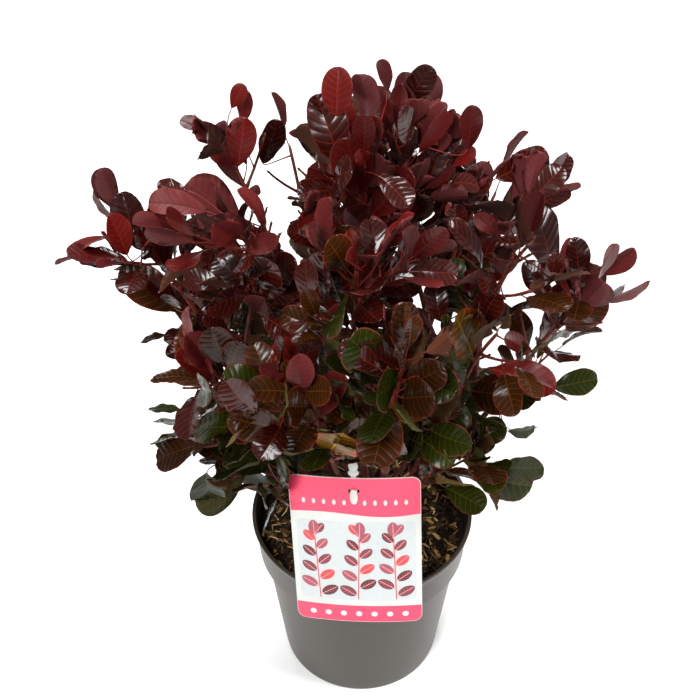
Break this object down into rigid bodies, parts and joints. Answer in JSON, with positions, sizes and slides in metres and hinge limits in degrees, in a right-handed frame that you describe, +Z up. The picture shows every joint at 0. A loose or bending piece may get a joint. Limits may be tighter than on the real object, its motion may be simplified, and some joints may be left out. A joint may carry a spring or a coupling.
{
  "type": "potted smoke bush",
  "caption": "Compact smoke bush in a round nursery pot: a short forked trunk, tapering boughs, dark red leaves over green ones, and a plain picture card clipped at the rim.",
  "frame": {"origin": "centre of the pot's flat underside", "axes": "+Z up along the pot's axis, -Y to the front, where the card hangs, +X to the right seen from the front"},
  "size_m": [0.4953, 0.463, 0.671],
  "materials": {
    "pot_plastic": "satin",
    "potting_mix": "matte",
    "card_print": "satin",
    "clip_plastic": "gloss",
    "bark": "matte",
    "foliage_red": "satin",
    "foliage_green": "satin"
  },
  "bodies": {
    "root": {"bough_back": "bark", "bough_back_left": "bark", "bough_back_right": "bark", "bough_front_left": "bark", "bough_front_right": "bark", "bough_left": "bark", "bough_left_back": "bark", "bough_left_front": "bark", "bough_right": "bark", "bough_right_back": "bark", "bough_right_front": "bark", "bough_top_back": "bark", "bough_top_centre": "bark", "bough_top_front": "bark", "bough_top_left": "bark", "bough_top_left_front": "bark", "bough_top_right": "bark", "bough_top_right_front": "bark", "foliage_back": "foliage_red", "foliage_back_left": "foliage_red", "foliage_back_right": "foliage_red", "foliage_front_left": "foliage_red", "foliage_front_right": "foliage_red", "foliage_left": "foliage_red", "foliage_left_back": "foliage_red", "foliage_left_front": "foliage_red", "foliage_low_back": "foliage_green", "foliage_low_left": "foliage_green", "foliage_low_left_front": "foliage_green", "foliage_low_right_front": "foliage_green", "foliage_middle_back": "foliage_green", "foliage_middle_back_right": "foliage_green", "foliage_middle_front": "foliage_green", "foliage_middle_left": "foliage_green", "foliage_middle_left_front": "foliage_green", "foliage_middle_right": "foliage_green", "foliage_right": "foliage_red", "foliage_right_back": "foliage_red", "foliage_right_front": "foliage_red", "foliage_top_back": "foliage_red", "foliage_top_centre": "foliage_red", "foliage_top_front": "foliage_red", "foliage_top_left": "foliage_red", "foliage_top_left_front": "foliage_red", "foliage_top_right": "foliage_red", "foliage_top_right_front": "foliage_red", "label_card": "card_print", "label_clip": "clip_plastic", "pot": "pot_plastic", "potting_soil": "potting_mix", "trunk": "bark"}
  },
  "joints": []
}
